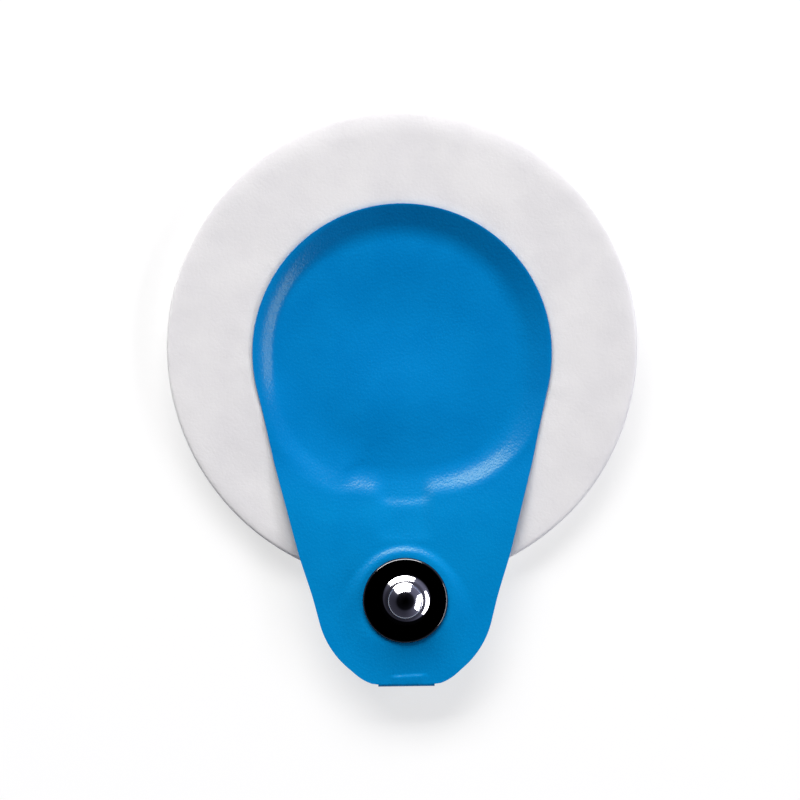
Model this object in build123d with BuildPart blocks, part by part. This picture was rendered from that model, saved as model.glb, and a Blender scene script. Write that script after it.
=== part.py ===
from build123d import *
import os

# Offset snap electrode: a foam pad under a dished cover film, with a snap stud on the film's tab.
# Frame: origin at the pad's centre on its skin face, +Z away from the skin, the tab along -Y.
# Units: millimetres.

# Foam pad
pad_radius = 27.75
foam_thickness = 2.5
foam_edge_roll = 0.8  # radius of the rolled outer edge

# Cover film in plan: a round head, a round tab end and the tangents between them
film_thickness = 0.3
foam_border = 10.2  # bare foam outside the film's round head
head_offset = 0.75  # head centre from the pad's centre, towards the tab
tab_radius = 10.4
fold_trim = 0.3  # how much the straight fold takes off the tab's round end

# Dish pressed into the film and the foam, round the head's centre
dish_depth = 1.4
film_border = 0.45  # film outside the dish
dish_rim_width = 0.5  # level rim outside the wall
dish_wall_width = 2.6
dish_floor_width = 4.75  # foot of the wall to the gel well
dish_foot_round = 6.0
dish_shoulder_round = 1.5
well_dip = 0.35  # how far the film sinks over the gel well
well_dip_round = 40.0

# Side line of the tab, from the dish rim to the folded end
step_gap = 0.05  # dish rim to the foot of the step
step_length = 1.0
tab_ramp = 4.05  # top of the step to the level film round the stud
tab_lift = 0.3  # climb along that ramp
tab_end_drop = 0.2
fold_run = 0.4  # level stretch before the fold
lobe_clearance = 0.03  # rear lobe over the foam, at its inner end

# Conductor strip between the film and what lies under it
strip_thickness = 0.12
strip_width = 5.0
sensor_margin = 3.25  # sensor disc to the edge of the gel well

# Gel sponge
sponge_clearance = 0.25

# Raised ring of film round the stud, over the eyelet's flange
ring_clearance = 0.2  # eyelet flange to the foot of the ring's slope
ring_slope = 0.8
ring_apron = 0.3  # level film outside the slope
ring_round = 0.4

# Snap eyelet, the rear half of the snap
eyelet_flange_radius = 5.5
eyelet_flange_thickness = 0.33
post_radius = 1.3
rivet_radius = 1.6
rivet_height = 0.85

# Snap stud, drawn from one sheet
stud_flange_radius = 5.0
stud_flange_thickness = 0.45
stud_rim_round = 0.35
stud_neck_radius = 1.65
stud_foot_round = 1.4
stud_neck_straight = 0.15  # between the foot's round and the underside of the ball
stud_ball_radius = 2.0
stud_ball_height = 1.7
stud_ball_cone = 0.35  # height of the cone under the ball
stud_ball_round = 0.25
stud_crown_round = 0.85
stud_crown_wall = 0.35
post_clearance = 0.06  # post to the hole it passes through
rivet_clearance = 0.08  # rivet to the inside of the ball

# Levels
foam_top = foam_thickness
dish_floor = foam_top - dish_depth
step_top = foam_top + film_thickness + strip_thickness + lobe_clearance
tab_level = step_top + tab_lift
ring_level = tab_level + eyelet_flange_thickness
tab_end_level = tab_level - tab_end_drop
stud_seat = ring_level + film_thickness
eyelet_seat = tab_level - strip_thickness

# Radii and places that follow from the sizes above
head_radius = pad_radius - foam_border
dish_rim_radius = head_radius - film_border
dish_wall_radius = dish_rim_radius - dish_rim_width
dish_foot_radius = dish_wall_radius - dish_wall_width
gel_well_radius = dish_foot_radius - dish_floor_width
sensor_radius = gel_well_radius - sensor_margin
ring_inner_radius = eyelet_flange_radius + ring_clearance
ring_foot_radius = ring_inner_radius + ring_slope
ring_outer_radius = ring_foot_radius + ring_apron
post_hole_radius = post_radius + post_clearance
sponge_radius = gel_well_radius - sponge_clearance
fold_inner_radius = strip_thickness / 2
fold_outer_radius = fold_inner_radius + film_thickness
step_y = -(head_offset + dish_rim_radius + step_gap)
stud_offset = step_length + tab_ramp + ring_outer_radius - step_y
fold_y = -(stud_offset + tab_radius - fold_trim - fold_outer_radius)
over_height = 2 * stud_seat  # taller than every layer, for cutting

head_plane = Plane((0, -head_offset, 0), x_dir=(1, 0, 0), z_dir=(0, -1, 0))
head_axis = Axis((0, -head_offset, 0), (0, 0, 1))
stud_plane = Plane((0, -stud_offset, 0), x_dir=(1, 0, 0), z_dir=(0, -1, 0))
stud_axis = Axis((0, -stud_offset, 0), (0, 0, 1))

# Underside of the tab's film, seen from the side, as (y, z) points
tab_line = [
    (step_y - step_length, step_top),
    (-stud_offset + ring_outer_radius, tab_level),
    (-stud_offset - ring_outer_radius, tab_level),
    (fold_y + fold_run, tab_end_level),
    (fold_y, tab_end_level),
]
film_line = [(head_radius, foam_top), (step_y, foam_top)] + tab_line


def band_face(line, low, high):
    """Fill the strip between two copies of a side line, lifted by low and by high."""
    lower = [(y, z + low) for y, z in line]
    upper = [(y, z + high) for y, z in reversed(line)]
    return Polygon(*lower, *upper, align=None)


def dish_line(lift):
    """Draw the underside of the dished film as a (radius, z) line, lifted by lift."""
    points = [
        (0, dish_floor - well_dip),
        (gel_well_radius, dish_floor),
        (dish_foot_radius, dish_floor),
        (dish_wall_radius, foam_top),
        (dish_rim_radius, foam_top),
    ]
    rounds = [well_dip_round, dish_foot_round, dish_shoulder_round]
    return FilletPolyline(*[(r, z + lift) for r, z in points], radius=rounds)


def ring_line(lift):
    """Draw the underside of the film over the eyelet as a (radius, z) line, lifted by lift."""
    points = [
        (post_hole_radius, ring_level),
        (ring_inner_radius, ring_level),
        (ring_foot_radius, tab_level),
        (ring_outer_radius, tab_level),
    ]
    return FilletPolyline(*[(r, z + lift) for r, z in points], radius=ring_round)


def revolved_layer(line, plane, axis, low, high):
    """Add the ring-shaped layer between two copies of a line of radii, lifted by low and by high."""
    with BuildSketch(plane) as section:
        with BuildLine():
            lower = line(low)
            upper = line(high)
            Line(lower @ 0, upper @ 0)
            Line(lower @ 1, upper @ 1)
        make_face()
    revolve(section.sketch, axis=axis)


def film_layer(low, high):
    """Add a layer that follows the film's underside over the head and the tab, lifted by low and by high."""
    with BuildSketch(Plane.YZ) as side:
        band_face(film_line, low, high)
    extrude(side.sketch, amount=head_radius, both=True)
    with BuildSketch(Plane.XY) as rounds:
        with Locations((0, -head_offset)):
            Circle(dish_rim_radius)
        with Locations((0, -stud_offset)):
            Circle(ring_outer_radius)
    extrude(rounds.sketch, amount=over_height, mode=Mode.SUBTRACT)
    revolved_layer(dish_line, head_plane, head_axis, low, high)
    revolved_layer(ring_line, stud_plane, stud_axis, low, high)


def cut_above_dish(lift):
    """Cut away everything over the dished film's underside, lifted by lift."""
    with BuildSketch(head_plane) as section:
        with BuildLine():
            lower = dish_line(lift)
            Polyline(lower @ 1, (dish_rim_radius, over_height), (0, over_height), lower @ 0)
        make_face()
    revolve(section.sketch, axis=head_axis, mode=Mode.SUBTRACT)


# Rear lobe of the cover film: the fold at the tab's end and the round flap behind the stud
with BuildPart() as rear_lobe:
    with BuildSketch(Plane.YZ):
        with Locations((fold_y, tab_end_level - fold_inner_radius)):
            Circle(fold_outer_radius)
            Circle(fold_inner_radius, mode=Mode.SUBTRACT)
            Rectangle(
                fold_outer_radius, 2 * fold_outer_radius, align=(Align.MIN, Align.CENTER), mode=Mode.SUBTRACT
            )
        band_face(tab_line, -strip_thickness - film_thickness, -strip_thickness)
    extrude(amount=tab_radius, both=True)
    with BuildSketch(Plane.XY):
        with Locations((0, -stud_offset)):
            Circle(tab_radius)
    extrude(amount=over_height, mode=Mode.INTERSECT)

# Cover film: one die-cut sheet, dished at the head and folded under at the tab's end
with BuildPart() as cover_film:
    film_layer(0, film_thickness)
    with BuildSketch(Plane.XY) as plan:
        with Locations((0, -head_offset)):
            Circle(head_radius)
        with Locations((0, -stud_offset)):
            Circle(tab_radius)
        make_hull(plan.edges())
    extrude(amount=over_height, mode=Mode.INTERSECT)
    add(rear_lobe.part)
cover_film.part.label = "cover_film"

# Sensor strip: a round coated end over the gel and a tail that the snap is riveted through
with BuildPart() as sensor_strip:
    film_layer(-strip_thickness, 0)
    with BuildSketch(Plane.XY):
        with Locations((0, -head_offset)):
            Circle(sensor_radius)
            Rectangle(strip_width, stud_offset - head_offset, align=(Align.CENTER, Align.MAX))
        with Locations((0, -stud_offset)):
            Circle(strip_width / 2)
    extrude(amount=over_height, mode=Mode.INTERSECT)
sensor_strip.part.label = "sensor_strip"

# Foam pad: die cut, its outer edge rolled, pressed into a dish, with the gel well through it
with BuildPart() as foam_pad:
    with BuildSketch(Plane.XY):
        Circle(pad_radius)
    extrude(amount=foam_thickness)
    fillet(foam_pad.edges().group_by(Axis.Z)[-1], radius=foam_edge_roll)
    with BuildSketch(Plane.XY):
        with Locations((0, -head_offset)):
            Circle(gel_well_radius)
    extrude(amount=foam_thickness, mode=Mode.SUBTRACT)
    cut_above_dish(0)
    add(sensor_strip.part, mode=Mode.SUBTRACT)
foam_pad.part.label = "foam_pad"

# Gel sponge: fills the well up to the sensor
with BuildPart() as gel_sponge:
    with BuildSketch(Plane.XY):
        with Locations((0, -head_offset)):
            Circle(sponge_radius)
    extrude(amount=foam_thickness)
    cut_above_dish(-strip_thickness)
gel_sponge.part.label = "gel_sponge"

# Snap stud: flange with a rounded rim, filleted neck and a hollow ball head with a flat crown
stud_flange_top = stud_seat + stud_flange_thickness
ball_low = stud_flange_top + stud_foot_round + stud_neck_straight
ball_top = ball_low + stud_ball_height
cavity_radius = rivet_radius + rivet_clearance
cavity_top = ball_top - stud_crown_wall
with BuildPart() as snap_stud:
    with BuildSketch(stud_plane):
        with BuildLine():
            FilletPolyline(
                (post_hole_radius, stud_seat),
                (stud_flange_radius, stud_seat),
                (stud_flange_radius, stud_flange_top),
                (stud_neck_radius, stud_flange_top),
                (stud_neck_radius, ball_low),
                (stud_ball_radius, ball_low + stud_ball_cone),
                (stud_ball_radius, ball_top),
                (0, ball_top),
                (0, cavity_top),
                (cavity_radius, cavity_top),
                (cavity_radius, ball_low + stud_ball_cone),
                (post_hole_radius, ball_low),
                radius=[
                    0,
                    0,
                    stud_rim_round,
                    stud_foot_round,
                    stud_ball_round,
                    stud_ball_round,
                    stud_crown_round,
                    0,
                    0,
                    0,
                    0,
                    0,
                ],
                close=True,
            )
        make_face()
    revolve(axis=stud_axis)
snap_stud.part.label = "snap_stud"

# Snap eyelet: flange behind the film, with a post riveted over inside the stud's ball
eyelet_flange_top = eyelet_seat + eyelet_flange_thickness
rivet_low = ball_low + stud_ball_cone
with BuildPart() as snap_eyelet:
    with BuildSketch(stud_plane):
        with BuildLine():
            FilletPolyline(
                (0, eyelet_seat),
                (eyelet_flange_radius, eyelet_seat),
                (eyelet_flange_radius, eyelet_flange_top),
                (post_radius, eyelet_flange_top),
                (post_radius, ball_low),
                (rivet_radius, rivet_low),
                (rivet_radius, rivet_low + rivet_height),
                (0, rivet_low + rivet_height),
                radius=0,
                close=True,
            )
        make_face()
    revolve(axis=stud_axis)
snap_eyelet.part.label = "snap_eyelet"

os.makedirs("parts", exist_ok=True)
for piece in (foam_pad, cover_film, sensor_strip, gel_sponge, snap_stud, snap_eyelet):
    export_step(piece.part, f"parts/{piece.part.label}.step")
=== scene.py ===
"""Dresses the snap electrode: soft foam pad, dished cover film, polished snap stud and wet gel sponge."""

import math

import bpy
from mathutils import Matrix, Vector, noise


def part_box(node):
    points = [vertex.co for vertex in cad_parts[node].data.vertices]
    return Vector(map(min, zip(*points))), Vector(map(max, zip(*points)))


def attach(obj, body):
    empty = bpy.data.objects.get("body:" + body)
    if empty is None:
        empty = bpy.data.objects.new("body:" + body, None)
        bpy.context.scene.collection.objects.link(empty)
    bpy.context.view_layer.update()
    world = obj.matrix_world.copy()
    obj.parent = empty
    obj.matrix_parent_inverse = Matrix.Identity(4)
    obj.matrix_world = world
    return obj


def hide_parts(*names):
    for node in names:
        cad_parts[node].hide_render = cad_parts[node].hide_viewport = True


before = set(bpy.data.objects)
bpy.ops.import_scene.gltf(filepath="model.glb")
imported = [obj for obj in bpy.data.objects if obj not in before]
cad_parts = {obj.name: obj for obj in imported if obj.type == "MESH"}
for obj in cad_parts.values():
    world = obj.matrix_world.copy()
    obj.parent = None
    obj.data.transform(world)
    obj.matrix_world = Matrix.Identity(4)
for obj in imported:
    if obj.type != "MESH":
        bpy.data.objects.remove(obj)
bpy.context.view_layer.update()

MM = 0.001


def box_mm(node):
    """Lowest and highest corner of a CAD node, in millimetres."""
    low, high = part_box(node)
    return low / MM, high / MM


# Sizes in millimetres, read from the frame or fitted to it
pad_high = box_mm("foam_pad")[1]
film_low, film_high = box_mm("cover_film")
stud_low, stud_high = box_mm("snap_stud")
sponge_high = box_mm("gel_sponge")[1]
layer_gap = 0.02

# Steps round the turned pieces, what counts as one point, and the angles in degrees that stay sharp
pad_steps, stud_steps, sponge_steps = 288, 160, 128
ring_merge, sheet_merge = 0.002, 0.001
soft_angle, sheet_angle, metal_angle = 60, 50, 30

# Foam pad: a little longer than wide, with a rolled edge that droops most at the far side
pad_radius = pad_high.x
pad_oval = 0.12
foam_top = pad_high.z
edge_roll = 0.3
edge_foot = 0.3
edge_roll_steps, edge_foot_steps = 6, 3
edge_row, edge_rows = 0.3, 9
top_rows, dish_rows = 14, 30
top_margin = 0.4
skin_radii, skin_spread = (12.0, 15.0, 18.0, 21.0, 24.0), 18
wall_heights = (0.8, 1.3, 1.8)
skin_height = 0.4
soft_height = 1.5
edge_droop, edge_droop_width = 0.08, 1.6
far_droop, far_droop_width = 0.26, 1.2
far_start, far_width = 0.52, 0.48
outline_start, outline_width = 24, 2
film_edge_width = 2.5
lobe_margin = 0.2

# Unevenness as waves of (depth, length, seed)
foam_waves = ((0.045, 5.0, 1.5), (0.02, 1.7, 4.5))
film_edge_wave = (0.05, 1.2, 7.5)
outline_depth, outline_length, outline_seeds = 0.05, 6.0, (2.5, 5.5)
sponge_wave = (0.03, 1.1, 2.0)
film_waves = ((0.01, 2.2, 3.0), (0.02, 6.5, 9.0))

# Cover film in plan: a teardrop that bulges a little at its flanks and at the fold
film_thickness = 0.3
fold_cut = 0.3
end_bulge, end_bulge_reach, end_bulge_length = 0.4, 8, 1.7
flank_bulge = 0.3
flank_start, flank_rise, flank_fall = 0.08, 0.24, 0.35
head_radius = film_high.x
head_y = film_high.y - head_radius
stud_y = (stud_low.y + stud_high.y) / 2
tab_radius = stud_y - film_low.y + fold_cut

# Dish: the wall runs out to the film's edge at the far side and has a round shoulder towards the tab
dish_depth = 1.4
dish_squareness = 2.5
dish_margin = 0.45
dish_rim_radius = 17.1
dish_foot_start = 13.2
dish_wall_start = 15.3
dish_wall_end = 17.3
dish_tab_wall_end = 16.1
dish_shoulder = 0.25
dish_tab_shoulder = 1.1
left_foot_start = 14.75
left_wall_start = 15.35
left_shoulder = 2.0
left_floor_rise = 0.14
low_left_rise = 0.5
low_left_wall_end = 16.4
low_left_shoulder = 1.4
curl_start = 10
well_play = 0.25
well_radius = sponge_high.x + well_play

# Where the wall changes round the dish, by the share of the way across and along
tab_across, tab_along, tab_spread = 0.45, 0.8, 1.6
left_sharpness, left_onset = 1.6, 0.5
low_left_start, low_left_width = 0.33, 0.14
low_left_fade_start, low_left_fade_width = 0.08, 0.42

# Floor of the dish over the gel: sunk at the far side, risen towards the tab
bowl_centre_x = -0.8
bowl_centre_y = 3.7
bowl_half_width = 12.0
bowl_far_reach = 8.0
bowl_near_reach = 11.5
bowl_sink = 0.3
bowl_rise = 0.6
bowl_dip = 0.14
bowl_dip_length = 5

# Tab: the climb off the dish's rim, the ridge over the conductor strip, the eyelet's ring and the fold
strip_thickness = 0.12
strip_half_width = 2.5
strip_bed = 2.75
sensor_radius = 6.0
post_hole = 1.45
post_hole_depth = 0.6
fold_radius = film_thickness + strip_thickness / 2
fold_y = film_low.y + fold_radius
fold_inset = 0.75
eyelet_rise = 0.33
climb_start = 16.5
climb_length = 11.5
climb_flatness = 0.8
climb_soft = 0.6
ridge_reach = 8.8
ridge_soft = 0.25
ridge_inset, ridge_flank = 0.7, 2.0
hump_height = 0.18
hump_start, hump_rise = 3.6, 1.4
hump_end, hump_fall = 5, 3.8
ring_radius = 5.4
ring_slope = 1.2
ring_tail = 3.8
ring_spread = 1.5
crease_reach, crease_lean = 8.6, 0.05
crease_x, crease_half_width, crease_end = 0.3, 1.2, 1.3
crease_height, crease_front, crease_back = 0.14, 0.45, 2.2
end_rise = 0.18
end_rise_length = 8
tab_rise = film_high.z - eyelet_rise - (foam_top + film_thickness)

# Rows and columns of the film's sheet and the strip's
lobe_end_rows, lobe_rows, fold_rows = 26, 22, 12
crease_rows, crease_length = 18, 1.8
tab_rows, head_rows, film_columns = 150, 72, 120
strip_end_rows, strip_rows, sensor_rows, strip_columns = 12, 140, 24, 36

# Snap stud: radius and slope in degrees along its foot, a skirt that steepens towards the neck,
# and along its crown, a low dome with a tight roll into the ball's side
flange_radius = stud_high.x
flange_thickness = 0.45
flange_seat = ((0.16, 0), (0.04, 0.04))
rim_round = 0.35
rim_steps = 10
neck_radius = 1.65
ball_radius = 2.0
ball_height = 1.7
ball_side = 0.42
stud_seat = stud_low.z
stud_top = stud_high.z
flange_radii = (4.4, 4.0, 3.6, 3.3, 3.1)
stud_foot = [(3.1, 0), (2.95, 20), (2.85, 28), (2.5, 33), (2.4, 26), (2.1, 22), (2.0, 33), (1.85, 50)]
stud_foot += [(1.72, 75), (neck_radius, 86)]
neck_swell = ((0.0, -0.05), (0.03, 0.02), (0.12, 0.12), (0.24, 0.24), (0.31, 0.33))
stud_crown = [(ball_radius, 88), (1.98, 60), (1.94, 38), (1.88, 33), (1.2, 28), (0.95, 16)]
stud_crown += [(0.4, 6), (0.12, 2)]
slope_step = 0.08

# Painted dark of the flange, a painted reflection of the dark ceiling in its polished face: where it starts
# round the foot, its centre shifted towards the side away from the lamps as painted shade, and where and how
# far it thins at the rim
shade_shift_x, shade_shift_y = 0.14, 0.3
painted_dark_start, painted_dark_full = 2.69, 2.81
rim_start, rim_full, rim_painted_dark = 4.48, 4.58, 0.9

# Gel sponge: radii across the skin face, the soft edge as (inset, height) pairs, and radii across the top
sponge_radii = (0.4, 1.2, 2.0, 2.8, 3.6, 4.4, 5.2, 6.0, 6.8, 7.6, 8.3)
sponge_edge = ((0.3, 0.05), (0.1, 0.13), (0, 0.3), (0, 0.5), (0.1, 0.6), (0.35, 0.65))
sponge_top_radii = (7.0, 5.0, 3.0, 1.0)
sponge_face, sponge_face_edge, sponge_top = 0.03, 0.2, 0.6


def clamp(value):
    """The value, held between 0 and 1."""
    return min(1.0, max(0.0, value))


def smooth(value):
    """An eased step from 0 to 1 while the value goes from 0 to 1."""
    value = clamp(value)
    return value * value * (3 - 2 * value)


def blend(first, second, share):
    """From the first value to the second while the share goes from 0 to 1."""
    return first + (second - first) * share


def soft_start(value, share):
    """A ramp from 0 to 1 whose first share is rounded."""
    value = clamp(value)
    if value < share:
        return value * value / (2 * share) / (1 - share / 2)
    return (value - share / 2) / (1 - share / 2)


def ripple(x, y, length, seed):
    """A smooth, repeatable unevenness from -1 to 1, with waves of about that length."""
    return noise.noise(Vector((x / length, y / length, seed)))


# Shape of the cover film


def wall_share(radius, foot_start, wall_start, end, shoulder):
    """How far up the dish's wall a point is, from 0 on the floor to 1 at the rim."""
    foot = (wall_start - foot_start) / 2
    whole = foot + end - wall_start + shoulder / 2
    if radius <= foot_start:
        return 0.0
    if radius <= wall_start:
        return foot * ((radius - foot_start) / (wall_start - foot_start)) ** 2 / whole
    if radius <= end:
        return (foot + radius - wall_start) / whole
    return 1 - shoulder / 2 * clamp(1 - (radius - end) / shoulder) ** 2 / whole


def dish_radius(x, y):
    """Distance from the dish's axis, measured so that the near half of the dish is a little squarer."""
    along = y - head_y
    if along < 0:
        return (abs(x) ** dish_squareness + (-along) ** dish_squareness) ** (1 / dish_squareness)
    return math.hypot(x, along)


def left_share(x, y):
    """1 at the left side of the dish, where the wall stands up from a tighter foot, and 0 elsewhere."""
    return smooth(-left_sharpness * x / max(math.hypot(x, y - head_y), 1) - left_onset)


def low_left_share(x, y):
    """1 between the left side and the tab, where the wall is low and gentle, and 0 elsewhere."""
    radius = max(math.hypot(x, y - head_y), 1)
    from_tab = smooth((-x / radius - low_left_start) / low_left_width)
    from_left = smooth(((head_y - y) / radius - low_left_fade_start) / low_left_fade_width)
    return from_tab * from_left


def floor_curl(radius):
    """Share of the floor's slow rise before the wall, which hands over to the wall's foot."""
    if radius < left_foot_start:
        return max(0.0, (radius - curl_start) / (left_foot_start - curl_start)) ** 2
    past = min(radius, left_wall_start) - left_foot_start
    foot_length = left_wall_start - left_foot_start
    return 1 + 2 / (left_foot_start - curl_start) * (past - past**2 / (2 * foot_length))


def dish_wall(x, y):
    """Share of the wall's height at a point of the plan."""
    along = y - head_y
    tab_way = (tab_along * along + tab_across * x) / max(math.hypot(x, along), 1)
    towards_tab = smooth(0.5 - tab_way / tab_spread)
    leftwards, low_left = left_share(x, y), low_left_share(x, y)
    foot_start = blend(dish_foot_start, left_foot_start, max(leftwards, low_left))
    wall_start = blend(dish_wall_start, left_wall_start, max(leftwards, low_left))
    low_wall = max(towards_tab, leftwards)
    end = blend(blend(dish_wall_end, dish_tab_wall_end, low_wall), low_left_wall_end, low_left)
    shoulder = blend(blend(dish_shoulder, dish_tab_shoulder, towards_tab), left_shoulder, leftwards)
    shoulder = blend(shoulder, low_left_shoulder, low_left)
    return wall_share(dish_radius(x, y), foot_start, wall_start, end, shoulder)


def dish_floor_rise(x, y):
    """How far the dish's floor lies above its own level."""
    across = max(0.0, 1 - ((x - bowl_centre_x) / bowl_half_width) ** 2) ** 2
    far = y - bowl_centre_y
    left_rise = blend(left_floor_rise * left_share(x, y), low_left_rise, low_left_share(x, y))
    left_rise *= floor_curl(dish_radius(x, y))
    if far > 0:
        return left_rise - bowl_sink * across * max(0.0, 1 - (far / bowl_far_reach) ** 2) ** 2
    climbed = (bowl_sink + bowl_rise) * smooth(-far / bowl_near_reach) - bowl_sink
    return left_rise + across * (climbed - bowl_dip * smooth((-far - bowl_near_reach) / bowl_dip_length))


def film_lift(x, y):
    """How far the tab has climbed off the level of the dish's rim."""
    past = math.hypot(climb_flatness * x, y - head_y) - climb_start
    if y > head_y or past < 0:
        return 0.0
    past -= climb_soft * (1 - math.exp(-past / climb_soft))
    climbed = 1 - (1 - clamp(past / climb_length)) ** 3
    return tab_rise * climbed + end_rise * smooth((stud_y - y) / end_rise_length)


def strip_ridge(x, y, z, floor_level):
    """Carry the film in one ramp over the conductor strip, from the dish's floor to the tab."""
    along = math.hypot(x, y - head_y) - dish_foot_start
    if y > head_y or along < 0 or along > ridge_reach:
        return z
    top = foam_top + film_thickness + film_lift(0, head_y - dish_foot_start - ridge_reach)
    ridge = floor_level + (top - floor_level) * soft_start(along / ridge_reach, ridge_soft)
    past_hump = smooth((along - hump_end) / hump_fall)
    ridge += hump_height * smooth((along - hump_start) / hump_rise) * (1 - past_hump)
    over_strip = 1 - smooth((abs(x) - strip_half_width + ridge_inset) / ridge_flank)
    return z + (ridge - z) * over_strip


def eyelet_ring(x, y, z):
    """Raise the film to the stud over the eyelet, steeply at the far side and gently towards the fold."""
    reach = math.hypot(x, y - stud_y)
    towards_fold = smooth(0.5 - (y - stud_y) / max(reach, 0.1) / ring_spread)
    slope = ring_slope + (ring_tail - ring_slope) * towards_fold
    return z + (film_high.z - z) * (1 - smooth((reach - ring_radius) / slope))


def fold_crease(x, y):
    """Height of the short crease that the strip's end presses into the film beside the fold."""
    past = stud_y - crease_reach - y + crease_lean * x
    across = 1 - smooth((abs(x - crease_x) - crease_half_width) / crease_end)
    behind = smooth((past - crease_front) / crease_back)
    return crease_height * across * smooth(past / crease_front) * (1 - behind)


def film_top(x, y):
    """Height of the film's outer face over a point of the plan."""
    rim = foam_top + film_thickness
    floor_level = rim - dish_depth + dish_floor_rise(x, y)
    z = floor_level + (rim - floor_level) * dish_wall(x, y) + film_lift(x, y)
    z = strip_ridge(x, y, z, floor_level)
    z = eyelet_ring(x, y, z) + fold_crease(x, y)
    for depth, length, seed in film_waves:
        z += depth * ripple(x, y, length, seed)
    return z


def lobe_low(x, y):
    """Height of the rear lobe's outer, lower face."""
    return foam_top + film_thickness + film_lift(x, y) - 2 * fold_radius


def film_half_width(y):
    """Half the width of the teardrop at that place along the tab."""
    lean = (tab_radius - head_radius) / (head_y - stud_y)
    across = math.sqrt(1 - lean**2)
    head_tangent = (head_radius * across, head_y + head_radius * lean)
    tab_tangent = (tab_radius * across, stud_y + tab_radius * lean)
    if y >= head_tangent[1]:
        return math.sqrt(max(0.0, head_radius**2 - (y - head_y) ** 2))
    if y <= tab_tangent[1]:
        bulge = end_bulge * smooth((stud_y - end_bulge_reach - y) / end_bulge_length)
        return math.sqrt(max(0.0, tab_radius**2 - (y - stud_y) ** 2)) + bulge
    share = (y - tab_tangent[1]) / (head_tangent[1] - tab_tangent[1])
    bulge = flank_bulge * smooth((share - flank_start) / flank_rise) * smooth((1 - share) / flank_fall)
    return blend(tab_tangent[0], head_tangent[0], share) + bulge


def spread(first, last, count):
    """Evenly spaced values from first towards last, without the last one."""
    return [first + (last - first) * i / count for i in range(count)]


# Modelling helpers


def deselect_all():
    """Leave edit mode and let go of every object."""
    if bpy.context.object is not None and bpy.context.object.mode != "OBJECT":
        bpy.ops.object.mode_set(mode="OBJECT")
    bpy.ops.object.select_all(action="DESELECT")


def start_ring(name, ring, steps, fill="NOTHING"):
    """Add the first ring of a piece and leave it selected in edit mode.

    A ring is (half its width, half its length, its centre's y, its height).
    """
    deselect_all()
    half_x, half_y, centre_y, z = ring
    bpy.ops.mesh.primitive_circle_add(
        vertices=steps, radius=half_x * MM, fill_type=fill, location=(0, centre_y * MM, z * MM)
    )
    piece = bpy.context.object
    piece.name = piece.data.name = name
    piece.scale = (1, half_y / half_x, 1)
    bpy.ops.object.transform_apply(location=True, rotation=True, scale=True)
    bpy.ops.object.mode_set(mode="EDIT")
    bpy.ops.mesh.select_mode(type="EDGE")
    bpy.ops.mesh.select_all(action="SELECT")
    return piece


def add_rings(rings):
    """Extrude the selected ring from the first of these to each of the others in turn."""
    for last, ring in zip(rings, rings[1:]):
        bpy.ops.mesh.extrude_edges_move()
        bpy.ops.transform.resize(
            value=(ring[0] / last[0], ring[1] / last[1], 1),
            center_override=(0, last[2] * MM, last[3] * MM),
        )
        bpy.ops.transform.translate(value=(0, (ring[2] - last[2]) * MM, (ring[3] - last[3]) * MM))


def close_piece(piece, sharp_angle):
    """Merge what meets, turn the faces outwards and shade the piece."""
    bpy.ops.mesh.select_all(action="SELECT")
    bpy.ops.mesh.remove_doubles(threshold=ring_merge * MM)
    bpy.ops.mesh.normals_make_consistent(inside=False)
    bpy.ops.object.mode_set(mode="OBJECT")
    bpy.ops.object.shade_smooth_by_angle(angle=math.radians(sharp_angle))
    return piece


def punch_post_hole(sheet):
    """Take the eyelet's post out of a sheet that lies under the stud."""
    bpy.ops.object.mode_set(mode="EDIT")
    bpy.ops.mesh.select_mode(type="VERT")
    bpy.ops.mesh.select_all(action="DESELECT")
    bpy.ops.object.mode_set(mode="OBJECT")
    for vertex in sheet.data.vertices:
        x, y, z = vertex.co / MM
        vertex.select = math.hypot(x, y - stud_y) < post_hole and z > film_high.z - post_hole_depth
    bpy.ops.object.mode_set(mode="EDIT")
    bpy.ops.mesh.delete(type="VERT")
    bpy.ops.object.mode_set(mode="OBJECT")


def thicken(sheet, depth):
    """Give a sheet its thickness, downwards from its outer face, and shade it."""
    thickness = sheet.modifiers.new("sheet thickness", "SOLIDIFY")
    thickness.thickness = depth * MM
    thickness.offset = -1
    bpy.ops.object.modifier_apply(modifier=thickness.name)
    bpy.ops.object.shade_smooth_by_angle(angle=math.radians(sheet_angle))


def start_sheet(name, columns, rows):
    """Add a flat grid with that many columns and rows, whose points are then moved to their places."""
    deselect_all()
    bpy.ops.mesh.primitive_grid_add(x_subdivisions=columns, y_subdivisions=rows, size=2, location=(0, 0, 0))
    sheet = bpy.context.object
    sheet.name = sheet.data.name = name
    return sheet


def row_of(vertex, rows):
    """The entry of the rows that a point of the flat grid belongs to."""
    return rows[round((vertex.co.y + 1) / 2 * (len(rows) - 1))]


def finish_sheet(sheet, depth):
    """Merge what meets, take out the hole for the post and give the sheet its thickness."""
    bpy.ops.object.mode_set(mode="EDIT")
    bpy.ops.mesh.select_all(action="SELECT")
    bpy.ops.mesh.remove_doubles(threshold=sheet_merge * MM)
    bpy.ops.object.mode_set(mode="OBJECT")
    punch_post_hole(sheet)
    thicken(sheet, depth)
    return sheet


def place_piece(piece, node, material):
    """Put a finished piece in the place of its CAD node."""
    piece.data.materials.clear()
    piece.data.materials.append(material)
    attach(piece, "root")
    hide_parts(node)


# Foam pad


def pad_ring(radius, z, share):
    """A ring of the pad: round the dish at share 0, and the pad's slightly long outline at share 1."""
    return (radius - pad_oval * share, radius + pad_oval * share, head_y * (1 - share), z)


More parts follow.
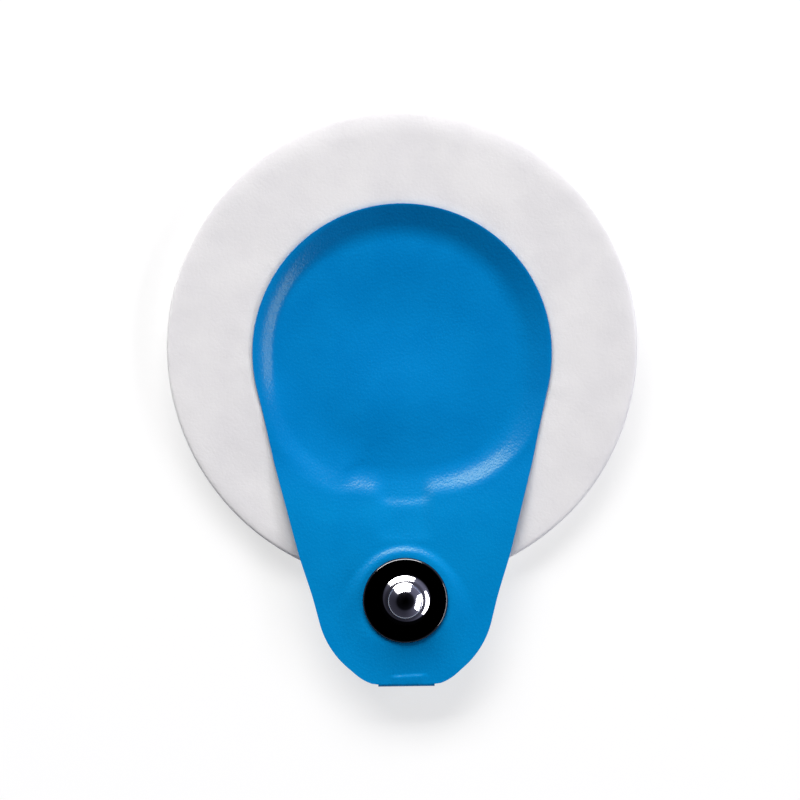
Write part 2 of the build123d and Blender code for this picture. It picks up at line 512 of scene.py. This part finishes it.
def make_foam_pad():
    """Ring by ring from the well's lower edge out over the skin face, up the rolled edge and back in."""
    roll_centre = pad_radius - edge_roll
    top_inner = dish_rim_radius + top_margin
    rings = [pad_ring(well_radius, 0, 0)]
    rings += [pad_ring(r, 0, (r - well_radius) / skin_spread) for r in skin_radii]
    rings += [pad_ring(pad_radius - edge_foot, 0, 1)]
    for i in range(1, edge_foot_steps + 1):
        turn = math.radians(90 * i / edge_foot_steps)
        reach = edge_foot * math.sin(turn)
        rings.append(pad_ring(pad_radius - edge_foot + reach, edge_foot * (1 - math.cos(turn)), 1))
    rings += [pad_ring(pad_radius, z, 1) for z in wall_heights]
    for i in range(edge_roll_steps + 1):
        turn = math.radians(90 * i / edge_roll_steps)
        across, up = edge_roll * math.cos(turn), edge_roll * math.sin(turn)
        rings.append(pad_ring(roll_centre + across, foam_top - edge_roll + up, 1))
    rings += [pad_ring(roll_centre - edge_row * i, foam_top, 1) for i in range(1, edge_rows + 1)]
    last = roll_centre - edge_row * edge_rows
    for i in range(1, top_rows + 1):
        rings.append(pad_ring(last + (top_inner - last) * i / top_rows, foam_top, 1 - i / top_rows))
    for i in range(1, dish_rows + 1):
        rings.append(pad_ring(top_inner + (well_radius - top_inner) * i / dish_rows, foam_top, 0))
    rings.append(pad_ring(well_radius, 0, 0))

    pad = start_ring("foam_pad_soft", rings[0], pad_steps)
    add_rings(rings)
    close_piece(pad, soft_angle)
    for vertex in pad.data.vertices:
        shape_foam(vertex)
    return pad


def shape_foam(vertex):
    """Press the dish into the pad, droop its edge and make it a little uneven."""
    x, y, z = vertex.co / MM
    if z < skin_height:
        return
    radius = math.hypot(x, y - head_y)
    if radius < dish_rim_radius + dish_margin:
        z = min(z, film_top(x, y) - film_thickness - layer_gap)
        if abs(x) < strip_bed and y < head_y:
            z = min(z, foam_top - strip_thickness)
    else:
        near_film = 1 - smooth((radius - head_radius) / film_edge_width)
        uneven = sum(depth * ripple(x, y, length, seed) for depth, length, seed in foam_waves)
        depth, length, seed = film_edge_wave
        uneven += depth * near_film * ripple(x, y, length, seed)
        far_side = smooth((y / max(math.hypot(x, y), 1) - far_start) / far_width)
        droop = edge_droop + far_droop * far_side
        droop_width = edge_droop_width + far_droop_width * far_side
        from_edge = pad_radius - math.hypot(x, y)
        uneven -= droop * clamp(1 - from_edge / droop_width) ** 2
        z += uneven * smooth((z - skin_height) / soft_height)
        at_outline = smooth((radius - outline_start) / outline_width)
        x += outline_depth * ripple(y, z, outline_length, outline_seeds[0]) * at_outline
        y += outline_depth * ripple(x, z, outline_length, outline_seeds[1]) * at_outline
    if math.hypot(x, y - stud_y) < tab_radius + lobe_margin:
        z = min(z, lobe_low(x, y) - layer_gap)
    vertex.co = Vector((x, y, z)) * MM


# Cover film


def film_rows():
    """Rows of the sheet from the rear lobe's end, round the fold and up the front, as (side, place) pairs."""
    rows = []
    for turn in spread(0, math.pi / 2, lobe_end_rows):
        rows.append(("rear", stud_y + tab_radius * math.cos(turn)))
    rows += [("rear", y) for y in spread(stud_y, fold_y, lobe_rows)]
    rows += [("fold", turn) for turn in spread(math.pi, 0, fold_rows)]
    rows += [("front", y) for y in spread(fold_y, fold_y + crease_length, crease_rows)]
    rows += [("front", y) for y in spread(fold_y + crease_length, head_y, tab_rows)]
    for turn in spread(math.pi / 2, 0, head_rows):
        rows.append(("front", head_y + head_radius * math.cos(turn)))
    rows.append(("front", head_y + head_radius))
    return rows


def make_cover_film():
    """One sheet: the rear lobe, the fold and the front over the tab and the dish."""
    rows = film_rows()
    film = start_sheet("cover_film_sheet", film_columns, len(rows) - 1)
    fold_width = film_half_width(fold_y) - fold_inset
    for vertex in film.data.vertices:
        side, place = row_of(vertex, rows)
        if side == "front":
            x, y = vertex.co.x * film_half_width(place), place
            z = film_top(x, y)
        elif side == "fold":
            x = vertex.co.x * fold_width
            y = fold_y - fold_radius * math.sin(place)
            z = blend(lobe_low(x, fold_y), film_top(x, fold_y), (1 + math.cos(place)) / 2)
        else:
            half = math.sqrt(max(0.0, tab_radius**2 - (place - stud_y) ** 2))
            x, y = vertex.co.x * half, place
            z = lobe_low(x, y)
        vertex.co = Vector((x, y, z)) * MM
    return finish_sheet(film, film_thickness)


# Conductor strip with the sensor disc


def strip_half(y):
    """Half the width of the strip: the sensor disc, the strip and its round end at the stud."""
    half = math.sqrt(max(0.0, sensor_radius**2 - (y - head_y) ** 2))
    if y < stud_y:
        return math.sqrt(max(0.0, strip_half_width**2 - (y - stud_y) ** 2))
    return max(half, strip_half_width) if y < head_y else half


def make_sensor_strip():
    """The strip lies against the film's underside, from the stud to the pad's centre."""
    quarter = math.pi / 2
    rows = [stud_y - strip_half_width * math.cos(turn) for turn in spread(0, quarter, strip_end_rows)]
    rows += spread(stud_y, head_y, strip_rows)
    rows += [head_y + sensor_radius * math.sin(turn) for turn in spread(0, quarter, sensor_rows)]
    rows.append(head_y + sensor_radius)
    strip = start_sheet("sensor_strip_foil", strip_columns, len(rows) - 1)
    for vertex in strip.data.vertices:
        y = row_of(vertex, rows)
        x = vertex.co.x * strip_half(y)
        vertex.co = Vector((x, y, film_top(x, y) - film_thickness - layer_gap / 2)) * MM
    return finish_sheet(strip, strip_thickness - layer_gap)


# Snap stud


def stud_ring(radius, height):
    """A ring about the stud's axis, at a height over its seat."""
    return (radius, radius, stud_y, stud_seat + height)


def leaning_rings(marks, height):
    """Rings of a turned face whose slope, in degrees, is given at some radii, from that height upwards."""
    rings = []
    for (first, first_lean), (last, last_lean) in zip(marks, marks[1:]):
        count = max(2, round((first - last) / slope_step))
        for i in range(count):
            lean = math.radians(first_lean + (last_lean - first_lean) * (i + 0.5) / count)
            height += (first - last) / count * math.tan(lean)
            rings.append(stud_ring(first + (last - first) * (i + 1) / count, height))
    return rings


def make_snap_stud():
    """Ring by ring from the flange's seat, over its rim, up the foot and the neck, and over the ball."""
    rings = [stud_ring(flange_radius - inset, up) for inset, up in flange_seat]
    for i in range(rim_steps + 1):
        turn = math.radians(90 * i / rim_steps)
        across, up = rim_round * math.cos(turn), rim_round * math.sin(turn)
        rings.append(stud_ring(flange_radius - rim_round + across, flange_thickness - rim_round + up))
    rings += [stud_ring(r, flange_thickness) for r in flange_radii]
    rings += leaning_rings(stud_foot, flange_thickness)
    ball_low = stud_top - stud_seat - ball_height
    rings += [stud_ring(neck_radius + out, ball_low + up) for out, up in neck_swell]
    rings.append(stud_ring(ball_radius, ball_low + ball_side))
    rise = leaning_rings(stud_crown, 0)[-1][3] - stud_seat
    rings.append(stud_ring(ball_radius, stud_top - stud_seat - rise))
    rings += leaning_rings(stud_crown, stud_top - stud_seat - rise)

    stud = start_ring("snap_stud_polished", rings[0], stud_steps, fill="NGON")
    add_rings(rings)
    bpy.ops.mesh.extrude_edges_move()
    bpy.ops.mesh.merge(type="CENTER")
    return close_piece(stud, metal_angle)


# Gel sponge


def sponge_ring(radius, z):
    """A ring about the gel well's axis."""
    return (radius, radius, head_y, z)


def make_gel_sponge():
    """Ring by ring from the middle of the skin face, round the soft edge and back in on top."""
    outer = sponge_high.x
    rings = [sponge_ring(r, sponge_face) for r in sponge_radii]
    rings += [sponge_ring(outer - inset, z) for inset, z in sponge_edge]
    rings += [sponge_ring(r, sponge_top) for r in sponge_top_radii]
    sponge = start_ring("gel_sponge_soft", rings[0], sponge_steps, fill="NGON")
    add_rings(rings)
    bpy.ops.mesh.extrude_edges_move()
    bpy.ops.mesh.merge(type="CENTER")
    close_piece(sponge, soft_angle)
    depth, length, seed = sponge_wave
    for vertex in sponge.data.vertices:
        x, y, z = vertex.co / MM
        if z < sponge_face_edge:
            vertex.co.z += depth * (1 + ripple(x, y, length, seed)) * MM
    return sponge


# Materials


def new_material(name):
    """A new material with its nodes, links and shader."""
    material = bpy.data.materials.new(name)
    material.use_nodes = True
    tree = material.node_tree
    return material, tree.nodes, tree.links, tree.nodes["Principled BSDF"]


def in_millimetres(nodes, links, shift=(0, 0, 0)):
    """The piece's own coordinates in millimetres, with shift as the origin."""
    place = nodes.new("ShaderNodeTexCoord")
    scale = nodes.new("ShaderNodeMapping")
    scale.inputs["Scale"].default_value = (1 / MM,) * 3
    scale.inputs["Location"].default_value = tuple(-s for s in shift)
    links.new(place.outputs["Object"], scale.inputs["Vector"])
    return scale.outputs["Vector"]


def grain(nodes, links, place, scale, detail=2.0, roughness=0.5):
    """Cloudy noise, with the scale per millimetre."""
    texture = nodes.new("ShaderNodeTexNoise")
    texture.inputs["Scale"].default_value = scale
    texture.inputs["Detail"].default_value = detail
    texture.inputs["Roughness"].default_value = roughness
    links.new(place, texture.inputs["Vector"])
    return texture.outputs["Fac"]


def cells(nodes, links, place, scale):
    """Soft cells, with the scale per millimetre."""
    texture = nodes.new("ShaderNodeTexVoronoi")
    texture.feature = "SMOOTH_F1"
    texture.inputs["Scale"].default_value = scale
    texture.inputs["Smoothness"].default_value = 0.6
    links.new(place, texture.inputs["Vector"])
    return texture.outputs["Distance"]


def between(nodes, links, value, low, high, low_out, high_out):
    """Map a value smoothly from one range to another."""
    mapped = nodes.new("ShaderNodeMapRange")
    mapped.interpolation_type = "SMOOTHSTEP"
    for name, number in (("From Min", low), ("From Max", high), ("To Min", low_out), ("To Max", high_out)):
        mapped.inputs[name].default_value = number
    links.new(value, mapped.inputs["Value"])
    return mapped.outputs["Result"]


def two_tone(nodes, links, value, first, second):
    """Blend from the first colour to the second as the value goes from 0 to 1."""
    mix = nodes.new("ShaderNodeMix")
    mix.data_type = "RGBA"
    mix.inputs["A"].default_value = (*first, 1)
    mix.inputs["B"].default_value = (*second, 1)
    links.new(value, mix.inputs["Factor"])
    return mix


def sum_of(nodes, links, first, second, share):
    """The first value plus a share of the second."""
    total = nodes.new("ShaderNodeMath")
    total.operation = "MULTIPLY_ADD"
    links.new(second, total.inputs[0])
    total.inputs[1].default_value = share
    links.new(first, total.inputs[2])
    return total.outputs["Value"]


def product_of(nodes, links, first, second):
    """The first value times the second."""
    total = nodes.new("ShaderNodeMath")
    total.operation = "MULTIPLY"
    links.new(first, total.inputs[0])
    links.new(second, total.inputs[1])
    return total.outputs["Value"]


def add_bump(nodes, links, shader, height, depth_mm, strength=1.0):
    """Give the shader a fine relief of that depth."""
    bump = nodes.new("ShaderNodeBump")
    bump.inputs["Strength"].default_value = strength
    bump.inputs["Distance"].default_value = depth_mm * MM
    links.new(height, bump.inputs["Height"])
    links.new(bump.outputs["Normal"], shader.inputs["Normal"])


def white_foam():
    """Soft white foam, with the adhesive as a yellowish coat on its skin face."""
    material, nodes, links, shader = new_material("white_foam")
    place = in_millimetres(nodes, links)
    clouds = between(nodes, links, grain(nodes, links, place, 0.16, 3), 0.3, 0.7, 0, 1)
    body = two_tone(nodes, links, clouds, (0.8, 0.79, 0.8), (0.845, 0.835, 0.838))
    split = nodes.new("ShaderNodeSeparateXYZ")
    links.new(place, split.inputs["Vector"])
    glue = between(nodes, links, split.outputs["Z"], 0.05, 0.16, 1, 0)
    coated = two_tone(nodes, links, glue, (0.7, 0.7, 0.7), (0.72, 0.69, 0.58))
    links.new(body.outputs["Result"], coated.inputs["A"])
    links.new(coated.outputs["Result"], shader.inputs["Base Color"])
    links.new(between(nodes, links, glue, 0, 1, 0.82, 0.3), shader.inputs["Roughness"])
    fine = grain(nodes, links, place, 3.2, 3, 0.6)
    relief = sum_of(nodes, links, fine, cells(nodes, links, place, 2.4), 0.35)
    add_bump(nodes, links, shader, relief, 0.035, 0.7)
    shader.inputs["Specular IOR Level"].default_value = 0.3
    shader.inputs["Subsurface Weight"].default_value = 0.8
    shader.inputs["Subsurface Radius"].default_value = (1.0, 1.0, 1.0)
    shader.inputs["Subsurface Scale"].default_value = 0.9 * MM
    return material


def blue_film():
    """Blue film with a fine leather grain, and a tab painted a lighter blue as painted sheen."""
    material, nodes, links, shader = new_material("blue_film")
    place = in_millimetres(nodes, links)
    clouds = between(nodes, links, grain(nodes, links, place, 0.22, 3), 0.3, 0.7, 0, 1)
    over_dish = two_tone(nodes, links, clouds, (0.0, 0.207, 0.55), (0.0005, 0.222, 0.575))
    painted_sheen_tab = two_tone(nodes, links, clouds, (0.0, 0.23, 0.575), (0.0005, 0.247, 0.6))
    split = nodes.new("ShaderNodeSeparateXYZ")
    links.new(place, split.inputs["Vector"])
    # The tab is painted a lighter blue than the dish: painted light, standing in for the brighter sheen that
    # the tab's rising face catches
    painted_sheen_share = between(nodes, links, split.outputs["Y"], head_y - 19, head_y - 13, 1, 0)
    body = two_tone(nodes, links, painted_sheen_share, (0, 0, 0), (0, 0, 0))
    links.new(over_dish.outputs["Result"], body.inputs["A"])
    links.new(painted_sheen_tab.outputs["Result"], body.inputs["B"])
    links.new(body.outputs["Result"], shader.inputs["Base Color"])
    fine = grain(nodes, links, place, 6.0, 2, 0.6)
    links.new(between(nodes, links, fine, 0.3, 0.7, 0.22, 0.29), shader.inputs["Roughness"])
    leather = sum_of(nodes, links, cells(nodes, links, place, 3.3), fine, 0.5)
    add_bump(nodes, links, shader, leather, 0.026, 0.7)
    shader.inputs["Specular IOR Level"].default_value = 0.3
    shader.inputs["Specular Tint"].default_value = (0.78, 0.92, 0.5, 1)
    return material


def plan_reach(nodes, links, centre):
    """Distance in plan from an upright axis through the centre, in millimetres."""
    split = nodes.new("ShaderNodeSeparateXYZ")
    links.new(in_millimetres(nodes, links, centre), split.inputs["Vector"])
    flat = nodes.new("ShaderNodeCombineXYZ")
    links.new(split.outputs["X"], flat.inputs["X"])
    links.new(split.outputs["Y"], flat.inputs["Y"])
    reach = nodes.new("ShaderNodeVectorMath")
    reach.operation = "LENGTH"
    links.new(flat.outputs["Vector"], reach.inputs[0])
    return reach.outputs["Value"]


def snap_metal():
    """Polished metal whose flange is painted near black, a painted reflection of the dark ceiling, reaching a
    little up the foot on the side away from the lamps as painted shade.
    """
    material, nodes, links, shader = new_material("snap_metal")
    axis = (0, stud_y, 0)
    place = in_millimetres(nodes, links, axis)
    # The painted dark is centred off the axis, so it reaches further up the foot away from the lamps: painted
    # shade
    from_foot = plan_reach(nodes, links, (shade_shift_x, stud_y + shade_shift_y, 0))
    painted_dark_share = between(nodes, links, from_foot, painted_dark_start, painted_dark_full, 0, 1)
    inside_rim = between(nodes, links, plan_reach(nodes, links, axis), rim_start, rim_full, 1, rim_painted_dark)
    flange = product_of(nodes, links, painted_dark_share, inside_rim)
    # Near black on the flange: a painted reflection of the dark ceiling in the polished metal
    body = two_tone(nodes, links, flange, (0.76, 0.76, 0.79), (0.012, 0.012, 0.014))
    links.new(body.outputs["Result"], shader.inputs["Base Color"])
    shader.inputs["Metallic"].default_value = 1.0
    worn = grain(nodes, links, place, 1.5, 4)
    links.new(between(nodes, links, worn, 0.3, 0.75, 0.05, 0.12), shader.inputs["Roughness"])
    add_bump(nodes, links, shader, grain(nodes, links, place, 5.0, 3), 0.002, 0.3)
    return material


def eyelet_metal():
    """Plain metal with faint stains."""
    material, nodes, links, shader = new_material("eyelet_metal")
    place = in_millimetres(nodes, links)
    stain = between(nodes, links, grain(nodes, links, place, 0.8, 4), 0.3, 0.7, 0, 1)
    body = two_tone(nodes, links, stain, (0.55, 0.55, 0.56), (0.66, 0.66, 0.66))
    links.new(body.outputs["Result"], shader.inputs["Base Color"])
    shader.inputs["Metallic"].default_value = 1.0
    links.new(between(nodes, links, stain, 0, 1, 0.18, 0.3), shader.inputs["Roughness"])
    return material


def silver_foil():
    """Dull grey foil of the conductor strip."""
    material, nodes, links, shader = new_material("silver_foil")
    place = in_millimetres(nodes, links)
    stain = between(nodes, links, grain(nodes, links, place, 1.2, 4), 0.3, 0.7, 0, 1)
    body = two_tone(nodes, links, stain, (0.42, 0.42, 0.41), (0.55, 0.55, 0.53))
    links.new(body.outputs["Result"], shader.inputs["Base Color"])
    shader.inputs["Metallic"].default_value = 1.0
    links.new(between(nodes, links, stain, 0, 1, 0.35, 0.5), shader.inputs["Roughness"])
    return material


def wet_sponge():
    """Pale open sponge, wet with gel."""
    material, nodes, links, shader = new_material("gel_sponge")
    place = in_millimetres(nodes, links)
    pores = cells(nodes, links, place, 1.8)
    open_cells = between(nodes, links, pores, 0.1, 0.5, 0, 1)
    body = two_tone(nodes, links, open_cells, (0.5, 0.52, 0.47), (0.74, 0.75, 0.69))
    links.new(body.outputs["Result"], shader.inputs["Base Color"])
    wetness = grain(nodes, links, place, 0.6, 2)
    links.new(between(nodes, links, wetness, 0.3, 0.7, 0.12, 0.3), shader.inputs["Roughness"])
    add_bump(nodes, links, shader, pores, 0.12, 0.6)
    return material


# Pieces

foam_pad = make_foam_pad()
place_piece(foam_pad, "foam_pad", white_foam())

cover_film = make_cover_film()
place_piece(cover_film, "cover_film", blue_film())

snap_stud = make_snap_stud()
place_piece(snap_stud, "snap_stud", snap_metal())

gel_sponge = make_gel_sponge()
place_piece(gel_sponge, "gel_sponge", wet_sponge())

sensor_strip = make_sensor_strip()
place_piece(sensor_strip, "sensor_strip", silver_foil())

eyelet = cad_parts["snap_eyelet"]
eyelet.data.materials.clear()
eyelet.data.materials.append(eyelet_metal())

# Floor, light and camera


def pale_floor():
    """White to the eye with a light shadow, and plain pale paper to the light that it throws back."""
    material, nodes, links, shader = new_material("pale_floor")
    shader.inputs["Roughness"].default_value = 0.9
    shader.inputs["Specular IOR Level"].default_value = 0.0
    path = nodes.new("ShaderNodeLightPath")
    seen = nodes.new("ShaderNodeMath")
    seen.operation = "MAXIMUM"
    links.new(path.outputs["Is Camera Ray"], seen.inputs[0])
    links.new(path.outputs["Is Glossy Ray"], seen.inputs[1])
    paper = two_tone(nodes, links, seen.outputs["Value"], (0.95, 0.95, 0.95), (0.37, 0.37, 0.37))
    links.new(paper.outputs["Result"], shader.inputs["Base Color"])
    glow = nodes.new("ShaderNodeMath")
    glow.operation = "MULTIPLY"
    glow.inputs[1].default_value = 0.67
    links.new(seen.outputs["Value"], glow.inputs[0])
    shader.inputs["Emission Color"].default_value = (1, 1, 1, 1)
    links.new(glow.outputs["Value"], shader.inputs["Emission Strength"])
    return material


deselect_all()
bpy.ops.mesh.primitive_plane_add(size=6, location=(0, 0, 0))
floor = bpy.context.object
floor.name = "floor"
floor.data.materials.append(pale_floor())

# The softboxes are aimed at the middle of the part
aim_y = -6


def add_softbox(name, azimuth, from_zenith, distance, size, watts, colour):
    """An area lamp aimed at the pad: azimuth runs from +X towards +Y, both angles in degrees."""
    turn, lean = math.radians(azimuth), math.radians(from_zenith)
    direction = Vector((math.cos(turn) * math.sin(lean), math.sin(turn) * math.sin(lean), math.cos(lean)))
    lamp = bpy.data.lights.new(name, "AREA")
    lamp.shape = "RECTANGLE"
    lamp.size, lamp.size_y = size
    lamp.energy = watts
    lamp.color = colour
    holder = bpy.data.objects.new(name, lamp)
    bpy.context.scene.collection.objects.link(holder)
    holder.location = Vector((0, aim_y * MM, 0)) + direction * distance
    holder.rotation_euler = direction.to_track_quat("Z", "Y").to_euler()
    holder.visible_camera = False


add_softbox("key softbox", 100, 57.5, 1.4, (1.6, 0.5), 31.0, (1.0, 0.99, 0.97))
add_softbox("side softbox", -10, 61, 1.4, (1.45, 0.19), 8.3, (0.97, 0.97, 1.0))

world = bpy.data.worlds.new("studio")
bpy.context.scene.world = world
world.use_nodes = True
sky = world.node_tree.nodes
backdrop = sky["Background"]
sky_links = world.node_tree.links
outlook = sky.new("ShaderNodeTexCoord")
height = sky.new("ShaderNodeSeparateXYZ")
sky_links.new(outlook.outputs["Generated"], height.inputs["Vector"])
ramp = sky.new("ShaderNodeValToRGB")
sky_links.new(height.outputs["Z"], ramp.inputs["Fac"])
# Tone of the room by height, from the horizon to a dark ceiling
sky_tint = (0.88, 0.88, 1.28)
tones = [(0.0, 0.42), (0.2, 0.4), (0.42, 0.2), (0.65, 0.1), (0.82, 0.015), (1.0, 0.0)]
for place, _ in tones[1:-1]:
    ramp.color_ramp.elements.new(place)
for element, (place, tone) in zip(ramp.color_ramp.elements, tones):
    element.position = place
    element.color = (*(tone * part for part in sky_tint), 1)
# The room is brighter behind the two softboxes than on the near side
lit_side = sky.new("ShaderNodeVectorMath")
lit_side.operation = "DOT_PRODUCT"
lit_side.inputs[1].default_value = (0.77, 0.64, 0)
sky_links.new(outlook.outputs["Generated"], lit_side.inputs[0])
level = between(sky, sky_links, lit_side.outputs["Value"], -0.7, 0.7, 0.22, 1.0)
sky_links.new(ramp.outputs["Color"], backdrop.inputs["Color"])
sky_links.new(level, backdrop.inputs["Strength"])

# The camera looks straight down on the pad, a little turned
field = 93.9 * MM
view_x, view_y, view_turn = -0.317, -6.278, -0.75
camera_data = bpy.data.cameras.new("camera")
camera_data.lens = 250
camera_data.sensor_width = 36
camera = bpy.data.objects.new("camera", camera_data)
bpy.context.scene.collection.objects.link(camera)
view_height = foam_top * MM + field * camera_data.lens / camera_data.sensor_width
camera.location = (view_x * MM, view_y * MM, view_height)
camera.rotation_euler = (0, 0, math.radians(view_turn))
camera_data.clip_start, camera_data.clip_end = 0.01, 20
bpy.context.scene.camera = camera

bpy.context.scene.view_settings.view_transform = "Standard"

bpy.context.view_layer.update()
